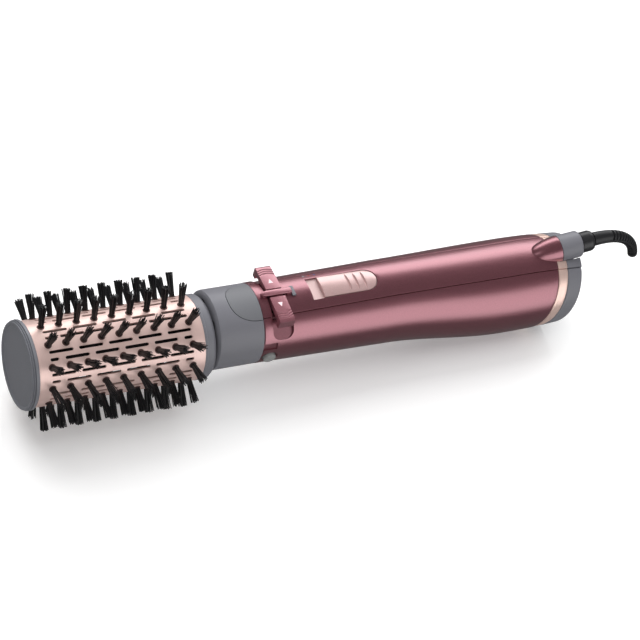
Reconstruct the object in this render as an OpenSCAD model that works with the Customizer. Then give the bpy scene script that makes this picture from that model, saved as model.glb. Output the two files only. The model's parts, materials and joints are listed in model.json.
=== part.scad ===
// Rotating hot air brush lying on a table, controls up.
// Every sub-part is drawn along the barrel's axis (X, end cap at 0, Z up) and laid on the table by lie().

/* [Barrel] */
// Outer radius of the aluminium barrel
barrel_r = 21; // [17:0.5:25.5]
// Length of barrel seen between end cap and rear collar
barrel_len = 85.1; // [70:0.1:103]
// Wall of the barrel
barrel_wall = 1.2; // [0.8:0.1:1.5]
// How far the end cap stands proud of the barrel
cap_proud = 1; // [0.5:0.1:2]
// Length of the end cap
cap_len = 3.8; // [3.2:0.1:6]
// Length of the rear collar
collar_len = 5.9; // [5:0.1:8]
// Air gap between the turning collar and the neck
head_gap = 0.8; // [0.5:0.1:1.5]

/* [Bristles] */
// Rows of tufts round the barrel
row_count = 12; // [8:2:12]
// Tufts in a row
tufts_per_row = 9; // [5:1:9]
// Distance between tufts along a row
tuft_pitch = 9; // [6:0.1:9]
// How far the tufts reach out of the barrel
tuft_reach = 12.2; // [8:0.1:15]
// Radius of a tuft where it leaves the barrel
tuft_root_r = 1.15; // [0.8:0.05:1.4]
// Radius of a tuft at its tip
tuft_tip_r = 2.1; // [1.5:0.05:2.6]

/* [Air slots] */
// Length of a long slot
slot_len = 12.2; // [8:0.1:12.4]
// Width of a slot
slot_w = 1.5; // [1:0.1:2]
// Length of a short slot
short_slot_len = 4.3; // [3:0.1:5]

/* [Neck] */
// Outer radius of the neck
neck_r = 19.9; // [18:0.1:20]
// Length of the neck
neck_len = 24.3; // [20:0.1:30]
// How far the neck's axis lies above the barrel's axis
neck_rise = 3.7; // [3:0.1:4.5]
// Wall of the neck
neck_wall = 2.2; // [1.8:0.1:2.4]
// Outer radius of the spigot that plugs into the handle
spigot_r = 14.5; // [12:0.1:14.6]
// Depth of the spigot inside the handle
spigot_len = 14; // [11:0.5:17]
// Running clearance of sliding and turning round fits
fit_gap = 0.08; // [0.05:0.01:0.1]

/* [Handle] */
// Radius of the grip at its front edge
grip_r = 20; // [19.8:0.1:22]
// Length of the plum shells along the top
grip_len = 166.5; // [160:0.5:200]
// Radius of the belly near the rear
belly_r = 24.1; // [22.5:0.1:26]
// How far the belly's axis drops below the neck's axis
belly_drop = 3.8; // [2:0.1:5]
// Wall of the shells
shell_wall = 2; // [1.6:0.1:2.2]
// Half width of the top shell, which is split off along two straight seams
seam_half = 10.8; // [10:0.1:12]
// Width of the shadow gap between shells
seam_gap = 0.3; // [0.2:0.05:0.5]

/* [Rear end] */
// Width of the trim band
band_w = 5.5; // [4:0.1:8]
// Length of the rear cover behind the band
cover_len = 8.6; // [6:0.1:10]
// Lean of the band and the rear cover
rear_lean = 14; // [8:1:16]

/* [Controls] */
// Width of the rotation rocker along the handle
rocker_w = 8.1; // [6:0.1:9]
// Half length of the rocker across the handle
rocker_half = 17.5; // [15:0.1:18.5]
// Height of the rocker's top above the grip's surface
rocker_proud = 1.6; // [1.2:0.1:2]
// Length of the slider knob
knob_len = 30; // [24:0.5:31]
// Width of the slider knob
knob_w = 12.4; // [10:0.1:13]
// Travel of the slider knob
knob_travel = 6; // [4:0.5:6]
// Diameter of the release button
button_d = 6.6; // [5:0.1:7]

/* [Cord exit] */
// Radius of the cord collar
exit_r = 7.1; // [6.5:0.1:8]
// Upward tilt of the cord exit
exit_tilt = 10; // [5:1:15]
// Radius of the boot at its root
boot_root_r = 3.6; // [3:0.1:4.2]
// Radius of the boot at its tip
boot_tip_r = 2.6; // [2.4:0.1:3]
// Number of ribs on the boot
boot_ribs = 11; // [7:1:13]

/* [Hidden] */
$fn = 72;

// Stations along the barrel's axis
barrel_x = cap_len;
collar_x = barrel_x + barrel_len;
neck_x = collar_x + collar_len + head_gap;
grip_x = neck_x + neck_len;
band_x = grip_x + grip_len;
cover_x = band_x + band_w;
tail_x = cover_x + cover_len;

// Bristle rows: two rows stand on the table, one each side of the lowest line
row_step = 360 / row_count;
first_row = row_step / 2;
tuft_x = barrel_x + (barrel_len - tuft_pitch * (tufts_per_row - 1)) / 2;
last_tuft_x = tuft_x + tuft_pitch * (tufts_per_row - 1);
tip_reach = barrel_r + tuft_reach;
bore_r = barrel_r - barrel_wall;
strip_t = 1.8;
strip_w = 3.4;
strip_clear = 0.3;
strip_r = bore_r - strip_clear - strip_t;

// Slot rows: five long slots, then four long ones between two short ones
slots_per_row = 5;
slot_span = barrel_len - 12.4;
slot_pitch = (slot_span - slot_len) / (slots_per_row - 1);
slot_x = barrel_x + (barrel_len - slot_span) / 2;

// Shaft and bearing
shaft_r = 3;
bush_r = 5.6;
dog_r = 2.6;
dog_clear = 0.15;
socket_depth = 8;
shaft_end_x = grip_x + spigot_len - 2;

// Handle shape
belly_start = 70;
belly_run = 70;
front_flare = 1.1;
tail_round = 1.6;

// Rocker and bridge
rocker_x = grip_x + 5.5;
rocker_z = neck_rise + grip_r + rocker_proud;
rocker_t = 3.2;
rocker_clear = 0.7;
rocker_crown = 180;
lip_w = 2.9;
lip_drop = 6.2;
pin_r = 0.8;
pin_z = rocker_z - rocker_t - 0.5;
hub_r = pin_r + 0.7;
slot_floor_z = pin_z - hub_r - 0.15;
tray_t = 0.6;
tray_half = sqrt(pow(grip_r - shell_wall, 2) - pow(slot_floor_z - neck_rise, 2)) - 0.1;
ear_half = 2.4;
ear_t = 1.8;
ear_gap = 0.4;
bridge_half = 1.6;
bridge_front_x = grip_x + 0.9;
bridge_rear_x = grip_x + 17.9;
bridge_top_z = rocker_z + 0.8;
saddle_half = bridge_half + 1;

// Slider switch
window_x = grip_x + 28.3;
window_clear = 0.4;
knob_front_x = window_x + knob_travel + 0.3;
knob_rear_x = knob_front_x + knob_len;
window_rear_x = knob_rear_x + window_clear;
track_z = neck_rise + grip_r - 1.6;
track_t = 0.8;
groove_r = 60;

// Release button: a radial pad low on the side that faces -Y
button_x = grip_x + 4.4;
button_angle = 100;
button_proud = 1.4;
button_travel = 1;
button_root = spigot_r + 2.1 + button_travel;

// Cord exit
exit_len = 12;
exit_x = band_x + 3.1;
exit_z = neck_rise - belly_drop + belly_r - 0.8;
nose_len = 17;
fairing_x = exit_x - nose_len / 2;
swivel_r = 5.4;
swivel_len = 7.5;
boot_reach = 31;
boot_fall = 18;
cord_bore_r = 1.8;
cord_bore_len = 5;

// End cap and neck
cap_r = barrel_r + cap_proud;
cap_plate_x = 2.2;
neck_bore = neck_r - neck_wall;
web_t = 2.6;

// Shells, their finger scoops and the position marks
shell_end_x = band_x - 0.15;
scoop_x = grip_x + 9.9;
scoop_w = 11;
scoop_end = 68;
scoop_slope = 44;
mark_y = 9.2;

// End plate: a disc that fills the leaning mouth of the rear cover
tail_plate_t = 1.6;
tail_plate_x = tail_x - grip_rad(tail_x) * tan(rear_lean) - 3;
tail_plate_r = grip_rad(tail_plate_x + 4) - shell_wall - 0.5;

// Rotation drive
gear_x = shaft_end_x + 10;
gear_motor_r = 8.5;
gear_motor_len = 30;

// Heater, fan and board
heater_x = window_rear_x + 5;
heater_len = 38;
heater_z = axis_z(heater_x + heater_len / 2);
heater_r = 14.5;
fan_x = heater_x + heater_len + 9;
fan_motor_len = 24;
fan_motor_r = 11;
fan_z = axis_z(fan_x + fan_motor_len);
rotor_x = fan_x + fan_motor_len + 3;
rotor_r = 17;
fan_shaft_r = 1.2;
board_x = gear_x + 11;
board_z = neck_rise - grip_r + shell_wall + 2.1;

// Shell screws
screw_stations = [grip_x + 20, fan_x - 2];
screw_head_r = 2.6;
screw_r = 1.2;

// Resting pose: the last tufts and the belly touch the table
belly_x = grip_x + belly_start + belly_run + 7;
tip_low = tip_reach * cos(first_row) + tuft_tip_r * sin(first_row);
belly_low = grip_rad(belly_x) - axis_z(belly_x);
pitch = atan((tip_low - belly_low) / (belly_x - last_tuft_x));
lift = last_tuft_x * sin(pitch) + tip_low * cos(pitch);

// Colours
plum = [0.72, 0.55, 0.59];
rose = [0.80, 0.69, 0.67];
rose_gold = [0.84, 0.71, 0.68];
grey = [0.46, 0.46, 0.48];
cap_grey = [0.41, 0.41, 0.43];
black = [0.09, 0.09, 0.10];
steel = [0.75, 0.76, 0.78];
mica = [0.86, 0.80, 0.66];

// ---------- shared geometry ----------

function ease(t) = let (u = min(max(t, 0), 1)) u * u * (3 - 2 * u);

// Radius of the handle's outer surface and height of its axis at a station
function grip_rad(x) =
    let (
        swell = ease((x - grip_x - belly_start) / belly_run),
        front = grip_r + front_flare * min((x - grip_x) / belly_start, 1),
        tail = max(0, (x - band_x + 22) / (tail_x - band_x + 22))
    )
    front + (belly_r - grip_r - front_flare) * swell - tail_round * pow(tail, 2);
function axis_z(x) = neck_rise - belly_drop * ease((x - grip_x - belly_start) / belly_run);
function top_z(x) = axis_z(x) + grip_rad(x);

module lie() {
    boot_end = boot_point(1);
    front = -(barrel_r + cap_proud) * sin(pitch);
    rear = boot_end[0] * cos(pitch) + boot_end[2] * sin(pitch) + boot_tip_r;
    translate([-(front + rear) / 2, 0, lift]) rotate([0, pitch, 0]) children();
}

// A turned piece about the X axis from [radius, station] points
module turned(points, z = 0) {
    translate([0, 0, z]) rotate([0, 90, 0]) rotate_extrude() polygon(points);
}

module rod_x(x1, x2, r, z = 0, y = 0) {
    translate([x1, y, z]) rotate([0, 90, 0]) cylinder(r = r, h = x2 - x1);
}

module tube_x(x1, x2, outer, inner, z = 0) {
    turned([[inner, x1], [outer, x1], [outer, x2], [inner, x2]], z);
}

// Places children on the barrel at an angle from the top, leaning to -Y
module at_angle(angle, z = 0) {
    translate([0, 0, z]) rotate([angle, 0, 0]) children();
}

// A length of the handle's shell between two stations on its top line, each end leaning by an angle.
// The lower one runs round the belly from seam to seam; the upper one is the strip between the seams.
module shell_piece(x1, lean1, x2, lean2, inset = 0, upper = false) {
    steps = max(1, ceil((x2 - x1) / 11));
    n = upper ? 10 : 34;
    half = upper ? seam_half - seam_gap / 2 : seam_half + seam_gap / 2;
    per_ring = 2 * (n + 1);
    points = [
        for (i = [0:steps], depth = [inset, inset + shell_wall], k = [0:n])
            let (
                t = i / steps,
                base = x1 + (x2 - x1) * t,
                lean = (1 - t) * tan(lean1) + t * tan(lean2),
                r0 = grip_rad(base) - depth,
                seam = asin(half / r0),
                a = upper ? -seam + 2 * seam * k / n : seam + (360 - 2 * seam) * k / n,
                x = base - grip_rad(base) * (1 - cos(a)) * lean,
                r = grip_rad(x) - depth
            )
                [x, -r * sin(a), axis_z(x) + r * cos(a)]
    ];
    walls = [
        for (i = [0:steps - 1], k = [0:n - 1])
            let (o = i * per_ring + k, b = o + n + 1)
                each [
                    [o, o + 1, o + 1 + per_ring, o + per_ring],
                    [b, b + per_ring, b + 1 + per_ring, b + 1]
                ]
    ];
    seams = [
        for (i = [0:steps - 1])
            let (o = i * per_ring, e = o + n)
                each [
                    [o, o + per_ring, o + n + 1 + per_ring, o + n + 1],
                    [e, e + n + 1, e + n + 1 + per_ring, e + per_ring]
                ]
    ];
    ends = [
        for (k = [0:n - 1])
            let (o = k, e = steps * per_ring + k)
                each [[o, o + n + 1, o + n + 2, o + 1], [e, e + 1, e + n + 2, e + n + 1]]
    ];
    polyhedron(points, concat(walls, seams, ends), convexity = 6);
}

module slot_tool(x, length, angle) {
    at_angle(angle) translate([x + slot_w / 2, 0, bore_r - 1]) linear_extrude(barrel_wall + 2)
        stadium(length - slot_w, slot_w / 2);
}

module stadium(length, r) {
    translate([0, -r]) square([length, 2 * r]);
    circle(r, $fn = 20);
    translate([length, 0]) circle(r, $fn = 20);
}

// A closed wire that winds along +Z
module helix_wire(radius, pitch_z, turns, wire_r, steps_per_turn = 16, sides = 6) {
    count = ceil(turns * steps_per_turn);
    lead = atan(pitch_z / (2 * PI * radius));
    points = [
        for (i = [0:count], k = [0:sides - 1])
            let (
                a = 360 * turns * i / count,
                b = 360 * k / sides,
                out = radius + wire_r * cos(b),
                along = wire_r * sin(b)
            )
                [
                    out * cos(a) + along * sin(lead) * sin(a),
                    out * sin(a) - along * sin(lead) * cos(a),
                    pitch_z * turns * i / count + along * cos(lead)
                ]
    ];
    sides_list = [
        for (i = [0:count - 1], k = [0:sides - 1])
            let (a = i * sides + k, b = i * sides + (k + 1) % sides)
                [a, a + sides, b + sides, b]
    ];
    start = [for (k = [0:sides - 1]) k];
    end = [for (k = [0:sides - 1]) count * sides + sides - 1 - k];
    polyhedron(points, concat([start], sides_list, [end]), convexity = 8);
}

// ---------- brush head ----------

module end_cap() color(cap_grey) lie() union() {
    turned([
        [0, 0.9], [cap_r - 3.1, 0.9], [cap_r - 2.4, 0.3], [cap_r - 1.1, 0], [cap_r - 0.3, 0.3],
        [cap_r, 1], [cap_r, cap_len - 0.5], [cap_r - 0.4, cap_len], [barrel_r + 0.05, cap_len],
        [barrel_r + 0.05, cap_plate_x], [0, cap_plate_x]
    ]);
    tube_x(cap_plate_x, cap_plate_x + 6, 9.5, 8);
}

module barrel() color(rose) lie() difference() {
    tube_x(cap_plate_x, collar_x, barrel_r, bore_r);
    for (row = [0:row_count - 1]) {
        angle = first_row + row * row_step;
        for (i = [0:tufts_per_row - 1])
            at_angle(angle) translate([tuft_x + i * tuft_pitch, 0, bore_r - 1])
                cylinder(r = tuft_root_r + 0.25, h = barrel_wall + 2, $fn = 20);
        for (i = [0:slots_per_row - 1])
            slot_tool(slot_x + i * slot_pitch, slot_len, angle + row_step / 3);
        for (i = [0:slots_per_row - 2])
            slot_tool(slot_x + (i + 0.5) * slot_pitch, slot_len, angle + row_step * 2 / 3);
        slot_tool(slot_x, short_slot_len, angle + row_step * 2 / 3);
        slot_tool(slot_x + slot_span - short_slot_len, short_slot_len, angle + row_step * 2 / 3);
    }
}

module bristle_strip(angle) {
    at_angle(angle) {
        translate([tuft_x - 3, -strip_w / 2, strip_r])
            cube([last_tuft_x - tuft_x + 6, strip_w, strip_t]);
        for (i = [0:tufts_per_row - 1])
            translate([tuft_x + i * tuft_pitch, 0, strip_r + strip_t / 2])
                cylinder(r1 = tuft_root_r - 0.1, r2 = tuft_tip_r, h = tip_reach - strip_r - strip_t / 2,
                    $fn = 16);
    }
}

module bristle_strips() color(black) lie() {
    for (row = [0:row_count - 1]) bristle_strip(first_row + row * row_step);
}

module rear_collar() color(grey) lie() turned([
    [bore_r - 3, collar_x - 3], [bore_r - 0.05, collar_x - 3], [bore_r - 0.05, collar_x],
    [barrel_r + 0.2, collar_x], [barrel_r + 0.2, collar_x + 1.2], [barrel_r - 0.1, collar_x + 1.4],
    [barrel_r - 0.1, collar_x + collar_len - 1.4], [barrel_r - 1.2, collar_x + collar_len],
    [bore_r - 3, collar_x + collar_len]
]);

// Spider that carries the collar on the shaft
module brush_hub() color(grey) lie() difference() {
    union() {
        tube_x(collar_x - 2.5, collar_x + 4, bore_r - 3, bore_r - 5);
        tube_x(collar_x - 2.5, collar_x + 4, 8, shaft_r);
        for (k = [0:5]) rotate([60 * k, 0, 0])
            translate([collar_x - 2, -1.2, 7]) cube([4, 2.4, bore_r - 11]);
    }
    rod_x(collar_x - 3, collar_x + 5, shaft_r);
}

module core_tube() color(grey) lie() difference() {
    tube_x(cap_plate_x, collar_x - 2.5, 7.9, 6.6);
    for (k = [0:5], i = [0:6]) rotate([60 * k, 0, 0])
        translate([barrel_x + 8 + i * 10, 0, 5]) cylinder(r = 2, h = 5, $fn = 24);
}

// Shaft from the spider through the neck; its end is a hexagonal socket
module brush_shaft() color(steel) lie() difference() {
    union() {
        rod_x(collar_x - 4, shaft_end_x, shaft_r);
        rod_x(collar_x - 4.2, collar_x - 2.5, 6.5);
        rod_x(grip_x + 1, shaft_end_x, 4.6);
    }
    translate([shaft_end_x - socket_depth, 0, 0]) rotate([0, 90, 0])
        cylinder(r = dog_r + dog_clear, h = socket_depth + 1, $fn = 6);
}

// ---------- neck ----------

module neck() color(grey) lie() difference() {
    turned([
        [0, neck_x], [neck_r - 2.2, neck_x], [neck_r - 0.9, neck_x + 0.35], [neck_r - 0.2, neck_x + 1.1],
        [neck_r, neck_x + 2.2], [neck_r, grip_x - 0.25], [0, grip_x - 0.25]
    ], neck_rise);
    rod_x(neck_x + web_t, grip_x, neck_bore, neck_rise);
    rod_x(neck_x - 1, neck_x + web_t + 1, bush_r);
    for (k = [0:5]) translate([0, 0, neck_rise]) rotate([60 * k + 30, 0, 0])
        rod_x(neck_x - 1, neck_x + web_t + 1, 3.2, 13.2);
    thumb_outline(0.25, neck_r - 0.7);
}

// Outline of the thumb pad seen from above, as a prism cut down to a radius
function pad_edge(grow, a) =
    let (n = 0.8)
        [
            grip_x - (15.4 + grow) * pow(max(cos(a), 0), n),
            (11.3 + grow) * sign(sin(a)) * pow(abs(sin(a)), n)
        ];
module thumb_outline(grow, inner) {
    difference() {
        translate([0, 0, neck_rise]) linear_extrude(neck_r + 2)
            polygon(concat([for (a = [-90:6:90]) pad_edge(grow, a)],
                [[grip_x + 1, 11.3 + grow], [grip_x + 1, -11.3 - grow]]));
        rod_x(neck_x - 1, grip_x + 2, inner, neck_rise);
    }
}

module thumb_pad() color([0.44, 0.45, 0.46]) lie() intersection() {
    thumb_outline(0, neck_r - 0.65);
    rod_x(neck_x, grip_x - 0.25, neck_r + 0.15, neck_rise);
}

module neck_spigot() color(cap_grey) lie() difference() {
    union() {
        tube_x(grip_x - 4, grip_x + spigot_len, spigot_r, spigot_r - 1.6, neck_rise);
        tube_x(grip_x - 4, grip_x - 1.5, neck_bore - 0.05, spigot_r - 1, neck_rise);
    }
    // Key slot that the release button's tongue rides in
    at_angle(button_angle, neck_rise) translate([grip_x + 2, -1.6, spigot_r - 1])
        cube([spigot_len, 3.2, 2]);
}

// Bearing for the shaft in the neck's front web
module neck_bush() color([0.72, 0.58, 0.34]) lie() union() {
    tube_x(neck_x + 0.2, neck_x + web_t + 4, bush_r - 0.03, shaft_r + fit_gap);
    tube_x(neck_x + web_t, neck_x + web_t + 1.2, bush_r + 1.6, shaft_r + fit_gap);
}

// ---------- handle shells ----------

// Well under the rocker, open at the top and over the scoops beside it
module rocker_well() {
    translate([rocker_x - rocker_clear, -rocker_half - 1.4, slot_floor_z])
        cube([rocker_w + 2 * rocker_clear, 2 * rocker_half + 2.8, 20]);
}

// Finger scoops past the rocker's ends: a flat floor that runs out into the surface
module scoops() {
    for (side = [0, 1]) mirror([0, side, 0])
        translate([scoop_x, -grip_r * sin(scoop_end), neck_rise + grip_r * cos(scoop_end)])
            rotate([scoop_slope, 0, 0]) linear_extrude(10) scoop_outline();
}
module scoop_outline() {
    corner = 4.2;
    half = scoop_w / 2;
    translate([-half, corner]) square([scoop_w, 12]);
    translate([-half + corner, 0]) square([scoop_w - 2 * corner, corner + 1]);
    for (end = [-1, 1]) translate([end * (half - corner), corner]) circle(corner);
}

module release_recess(grow = 0) {
    at_angle(button_angle, neck_rise) translate([button_x, 0, grip_r - 6])
        cylinder(d = button_d + 2 * grow, h = 12);
}

module window_outline(inset = 0) {
    half = knob_w / 2 + window_clear;
    translate([window_x + inset, inset - half])
        square([window_rear_x - half - window_x - inset, 2 * (half - inset)]);
    translate([window_rear_x - half, 0]) circle(half - inset);
}

module switch_window() translate([0, 0, neck_rise + grip_r - 8]) linear_extrude(14) window_outline();

module main_shell() color(plum) lie() difference() {
    shell_piece(grip_x, 0, shell_end_x, rear_lean);
    rocker_well();
    scoops();
    release_recess(0.35);
    screw_holes();
}

module top_shell() color(plum) lie() difference() {
    shell_piece(grip_x, 0, shell_end_x, rear_lean, upper = true);
    rocker_well();
    ear_pocket();
    switch_window();
    exit_keepout(-0.1);
    marks(0.05);
}

// Fairing that runs up from the top shell to the cord collar
module exit_fairing() color(plum) lie() difference() {
    at_exit() rotate_extrude() polygon(concat(
        [[0, -0.1]], [for (a = [0:10:80]) [exit_r * cos(a), -nose_len * sin(a) - 0.1]], [[0, -nose_len - 0.1]]
    ));
    rod_x(exit_x - nose_len - 5, exit_x + 5, grip_rad(fairing_x) + 0.3, axis_z(fairing_x));
}

// Front bulkhead of the handle with the socket for the spigot
module socket_ring() color(cap_grey) lie() difference() {
    union() {
        tube_x(grip_x + 0.3, grip_x + 2.3, grip_r - shell_wall - 0.15, spigot_r + fit_gap, neck_rise);
        tube_x(grip_x + 0.3, grip_x + spigot_len - 1, spigot_r + 0.9, spigot_r + fit_gap, neck_rise);
    }
    release_recess(0.4);
}

// ---------- rotation rocker ----------

// Profile across the handle: a low crown with a lip hanging at each end
module rocker_outline() {
    intersection() {
        translate([0, rocker_z - rocker_crown]) circle(rocker_crown, $fn = 360);
        union() {
            translate([-rocker_half, rocker_z - rocker_t - 0.2]) square([2 * rocker_half, 8]);
            for (end = [-rocker_half, rocker_half - lip_w])
                translate([end, rocker_z - lip_drop]) square([lip_w, lip_drop + 1]);
        }
    }
}

// The rocker tips about a pin that runs along the handle
module rotation_rocker() color(plum) lie() difference() {
    union() {
        translate([rocker_x, 0, 0]) rotate([90, 0, 90]) linear_extrude(rocker_w) rocker_outline();
        translate([rocker_x, -saddle_half + 0.5, pin_z])
            cube([rocker_w, 2 * saddle_half - 1, rocker_z - rocker_t - pin_z + 0.5]);
        rod_x(rocker_x, rocker_x + rocker_w, hub_r, pin_z);
    }
    translate([rocker_x - 1, -saddle_half, rocker_z - 1.2]) cube([rocker_w + 2, 2 * saddle_half, 3]);
    rod_x(rocker_x - 1, rocker_x + rocker_w + 1, pin_r + fit_gap, pin_z);
    for (side = [-1, 1], k = [0:2])
        translate([rocker_x - 1, side * (rocker_half - 2.6 - 1.35 * k), rocker_z - 0.7])
            rod_x(0, rocker_w + 2, 0.35);
}

module rocker_pin() color(steel) lie()
    rod_x(rocker_x - ear_gap - ear_t, rocker_x + rocker_w + ear_gap + ear_t, pin_r, pin_z);

// Tray under the rocker, with an ear at each end of the pin
module rocker_tray() color(black) lie() union() {
    translate([rocker_x - rocker_clear, -tray_half, slot_floor_z - tray_t])
        cube([rocker_w + 2 * rocker_clear, 2 * tray_half, tray_t]);
    for (x = [rocker_x - ear_gap - ear_t, rocker_x + rocker_w + ear_gap]) difference() {
        translate([x, -ear_half, slot_floor_z - tray_t])
            cube([ear_t, 2 * ear_half, pin_z + 1.2 - slot_floor_z + tray_t]);
        rod_x(x - 1, x + 3, pin_r + 0.02, pin_z);
    }
}

// Pocket under the top shell's skin for the ears
module ear_pocket() {
    reach = ear_gap + ear_t + 0.3;
    translate([rocker_x - reach, -ear_half - 0.3, slot_floor_z - 2])
        cube([rocker_w + 2 * reach, 2 * ear_half + 0.6, pin_z + 1.4 - slot_floor_z + 2]);
}

module rocker_bridge() color(plum) lie() union() {
    front_leg = bridge_front_x + 1.4;
    rear_leg = bridge_rear_x - 2.4;
    translate([bridge_front_x, 0, rocker_z - 0.5]) linear_extrude(bridge_top_z - rocker_z + 0.5)
        polygon([
            [0, 0], [1.8, bridge_half * 0.8], [3.4, bridge_half],
            [bridge_rear_x - bridge_front_x, bridge_half], [bridge_rear_x - bridge_front_x, -bridge_half],
            [3.4, -bridge_half], [1.8, -bridge_half * 0.8]
        ]);
    translate([front_leg, -bridge_half * 0.7, top_z(front_leg) + 0.1])
        cube([2.2, bridge_half * 1.4, rocker_z - top_z(front_leg)]);
    translate([rear_leg, -bridge_half, top_z(bridge_rear_x)])
        cube([2.4, 2 * bridge_half, rocker_z - top_z(bridge_rear_x)]);
}

module bridge_foot() color(grey) lie()
    translate([bridge_rear_x, -2.9, top_z(bridge_rear_x + 2)]) cube([2, 5.8, 0.9]);

// ---------- slider switch ----------

module knob_outline(grow = 0) {
    half = knob_w / 2 + grow;
    translate([knob_front_x - grow, -half]) square([knob_len - knob_w / 2 + grow, 2 * half]);
    translate([knob_rear_x - knob_w / 2, 0]) circle(half);
}

module switch_knob() color([0.80, 0.72, 0.70]) lie() difference() {
    intersection() {
        translate([0, 0, track_z + 0.3]) linear_extrude(10) knob_outline();
        rod_x(knob_front_x - 1, knob_rear_x + 1, grip_r + 0.75, neck_rise);
    }
    for (k = [0:2]) translate([knob_front_x + 14.2 + 4.3 * k, 0, 0])
        rod_x(0, 1.1, groove_r, neck_rise + grip_r + 0.05 + groove_r);
}

// Stem and runner that the knob moves under the track
module knob_carrier() color(black) lie() union() {
    translate([knob_rear_x - 15, -2, track_z - 2.4]) cube([5, 4, 2.7]);
    translate([knob_rear_x - 16, -4, track_z - 2.4]) cube([7, 8, 1.2]);
}

module switch_track() color([0.86, 0.76, 0.74]) lie() difference() {
    translate([0, 0, track_z - track_t]) linear_extrude(track_t) window_outline(0.05);
    translate([knob_rear_x - 15.6 - knob_travel, -2.4, track_z - 2]) cube([6.2 + knob_travel, 4.8, 3]);
}

module slide_switch() color(black) lie() translate([knob_rear_x - 24, -5.5, track_z - 7.2])
    cube([21, 11, 4.5]);

// Three coloured marks beside the slider, one for each position
module at_mark(k) {
    x = knob_front_x - 5.6 + 3 * k;
    r = grip_rad(x);
    at_angle(-asin(mark_y / r), axis_z(x)) translate([x, 0, r]) children();
}
module marks(grow = 0) {
    for (k = [0:2]) at_mark(k) translate([0, 0, -0.5]) cylinder(r = 0.5 + grow, h = 0.55 + grow, $fn = 24);
}
module position_marks() color("silver") lie() marks();

// ---------- release button ----------

module release_button() color(grey) lie() at_angle(button_angle, neck_rise) union() {
    translate([button_x, 0, button_root]) cylinder(d = button_d, h = grip_r - button_root + button_proud - 0.8);
    translate([button_x, 0, grip_r + button_proud - 0.8])
        cylinder(d1 = button_d, d2 = button_d - 1.6, h = 0.8);
    translate([button_x, 0, button_root - 1]) cylinder(r = 0.9, h = 1.2, $fn = 24);
}

module button_spring() color(steel) lie() at_angle(button_angle, neck_rise)
    translate([button_x, 0, spigot_r + button_travel + 0.35]) helix_wire(1.6, 0.6, 2.4, 0.2);

// ---------- rear end ----------

module trim_band() color(rose_gold) lie()
    shell_piece(band_x, rear_lean, cover_x - 0.1, rear_lean, 0.15);

module trim_band_top() color(rose_gold) lie() difference() {
    shell_piece(band_x, rear_lean, cover_x - 0.1, rear_lean, 0.15, upper = true);
    exit_keepout();
}

module rear_cover() color(grey) lie()
    shell_piece(cover_x, rear_lean, tail_x, rear_lean);

module rear_cover_top() color(grey) lie() difference() {
    shell_piece(cover_x, rear_lean, tail_x, rear_lean, upper = true);
    exit_keepout();
}

// End plate with the air inlet, set inside the rear cover
module inlet_grille() color(cap_grey) lie() difference() {
    at_tail() grille_plate();
    exit_keepout();
}

module grille_plate() difference() {
    cylinder(r = tail_plate_r, h = tail_plate_t);
    for (k = [-3:3]) {
        half = sqrt(pow(tail_plate_r - 4, 2) - pow(4.2 * k, 2));
        translate([-half, 4.2 * k - 1.1, -1]) cube([2 * half, 2.2, tail_plate_t + 2]);
    }
}

module filter_mesh() color(steel) lie() difference() {
    at_tail() translate([0, 0, -0.7]) mesh_plate();
    exit_keepout();
}

module mesh_plate() difference() {
    cylinder(r = tail_plate_r, h = 0.6);
    for (i = [-4:4], j = [-4:4])
        if (norm([i, j]) * 3.4 < tail_plate_r - 4)
            translate([3.4 * i - 1.2, 3.4 * j - 1.2, -1]) cube([2.4, 2.4, 3]);
}

// Frame of the end plate: Z along the leaning rear axis
module at_tail() {
    translate([tail_plate_x, 0, axis_z(tail_plate_x)]) rotate([0, 90 + rear_lean, 0]) children();
}

// ---------- cord exit ----------

// Frame of the cord exit: Z along its axis, rising to the rear
module at_exit() {
    translate([exit_x, 0, exit_z]) rotate([0, 90 - exit_tilt, 0]) children();
}

// Room cut out of the shells for the collar and the swivel
module exit_keepout(from = -2) {
    at_exit() translate([0, 0, from]) cylinder(r = exit_r + 0.15, h = 60);
}

module cord_collar() color(grey) lie() at_exit() rotate_extrude() polygon([
    [4.8, 0], [exit_r, 0], [exit_r - 0.2, exit_len - 1.2], [exit_r - 1.2, exit_len],
    [swivel_r - 0.6, exit_len], [swivel_r - 0.6, exit_len - 3], [4.8, exit_len - 3]
]);

module swivel_body() color(black) lie() at_exit() rotate_extrude() polygon([
    [0, 2], [4.5, 2], [4.5, exit_len - 3.3], [swivel_r - 0.9, exit_len - 2.7],
    [swivel_r - 0.9, exit_len + 0.3], [swivel_r, exit_len + 0.3], [swivel_r, exit_len + swivel_len - 1],
    [swivel_r - 1, exit_len + swivel_len], [0, exit_len + swivel_len]
]);

// Centre line of the boot: leaves along the exit's axis and sags under the cord's weight
function boot_start() =
    let (d = exit_len + swivel_len)
        [exit_x + d * cos(exit_tilt), 0, exit_z + d * sin(exit_tilt)];
function boot_point(t) =
    let (
        p0 = boot_start(),
        p1 = p0 + [boot_reach * 0.45, 0, boot_reach * 0.45 * tan(exit_tilt)],
        p2 = p0 + [boot_reach * 0.85, 0, boot_fall * -0.15],
        p3 = p0 + [boot_reach, 0, -boot_fall],
        s = 1 - t
    )
        s * s * s * p0 + 3 * s * s * t * p1 + 3 * s * t * t * p2 + t * t * t * p3;
function boot_lean(t) =
    let (d = boot_point(min(t + 0.01, 1)) - boot_point(max(t - 0.01, 0))) atan2(-d[2], d[0]);
function boot_rad(t) = boot_root_r + (boot_tip_r - boot_root_r) * t;

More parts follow.
